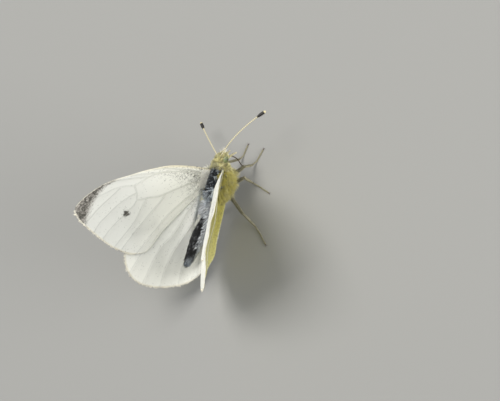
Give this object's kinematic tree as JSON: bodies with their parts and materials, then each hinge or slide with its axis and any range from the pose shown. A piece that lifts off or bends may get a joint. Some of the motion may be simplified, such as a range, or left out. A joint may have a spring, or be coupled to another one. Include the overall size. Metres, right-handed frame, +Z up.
{
  "type": "white butterfly model",
  "caption": "Life-size still model of a small white butterfly standing on its legs, wings raised in a V, tongue let down.",
  "frame": {"origin": "on the ground under the middle of the insect's bounding box, at the level of its soles", "axes": "+X forward out through the head, +Y to the insect's left, +Z up"},
  "size_m": [0.0328, 0.027, 0.0263],
  "materials": {
    "wing": "matt, finely scaled",
    "body_fur": "long soft hair",
    "head_fur": "short shaggy hair",
    "abdomen": "close scales",
    "eye": "glossy, faceted",
    "leg": "satin, finely scaled",
    "club": "matt",
    "palp": "short hair"
  },
  "bodies": {
    "root": {"thorax": "body_fur", "prothorax": "head_fur", "abdomen": "abdomen", "head": "head_fur", "proboscis": "leg", "eye_left": "eye", "eye_right": "eye", "palp_left": "palp", "palp_right": "palp", "antenna_left": "leg", "antenna_right": "leg", "antenna_club_left": "club", "antenna_club_right": "club", "forewing_left": "wing", "forewing_right": "wing", "hindwing_left": "wing", "hindwing_right": "wing", "leg_fore_right_femur": "leg", "leg_fore_right_tibia": "leg", "leg_fore_right_tarsus": "leg", "leg_mid_right_femur": "leg", "leg_mid_right_tibia": "leg", "leg_mid_right_tarsus": "leg", "leg_hind_right_femur": "leg", "leg_hind_right_tibia": "leg", "leg_hind_right_tarsus": "leg", "leg_fore_left_femur": "leg", "leg_fore_left_tibia": "leg", "leg_fore_left_tarsus": "leg", "leg_mid_left_femur": "leg", "leg_mid_left_tibia": "leg", "leg_mid_left_tarsus": "leg", "leg_hind_left_femur": "leg", "leg_hind_left_tibia": "leg", "leg_hind_left_tarsus": "leg"}
  },
  "joints": []
}
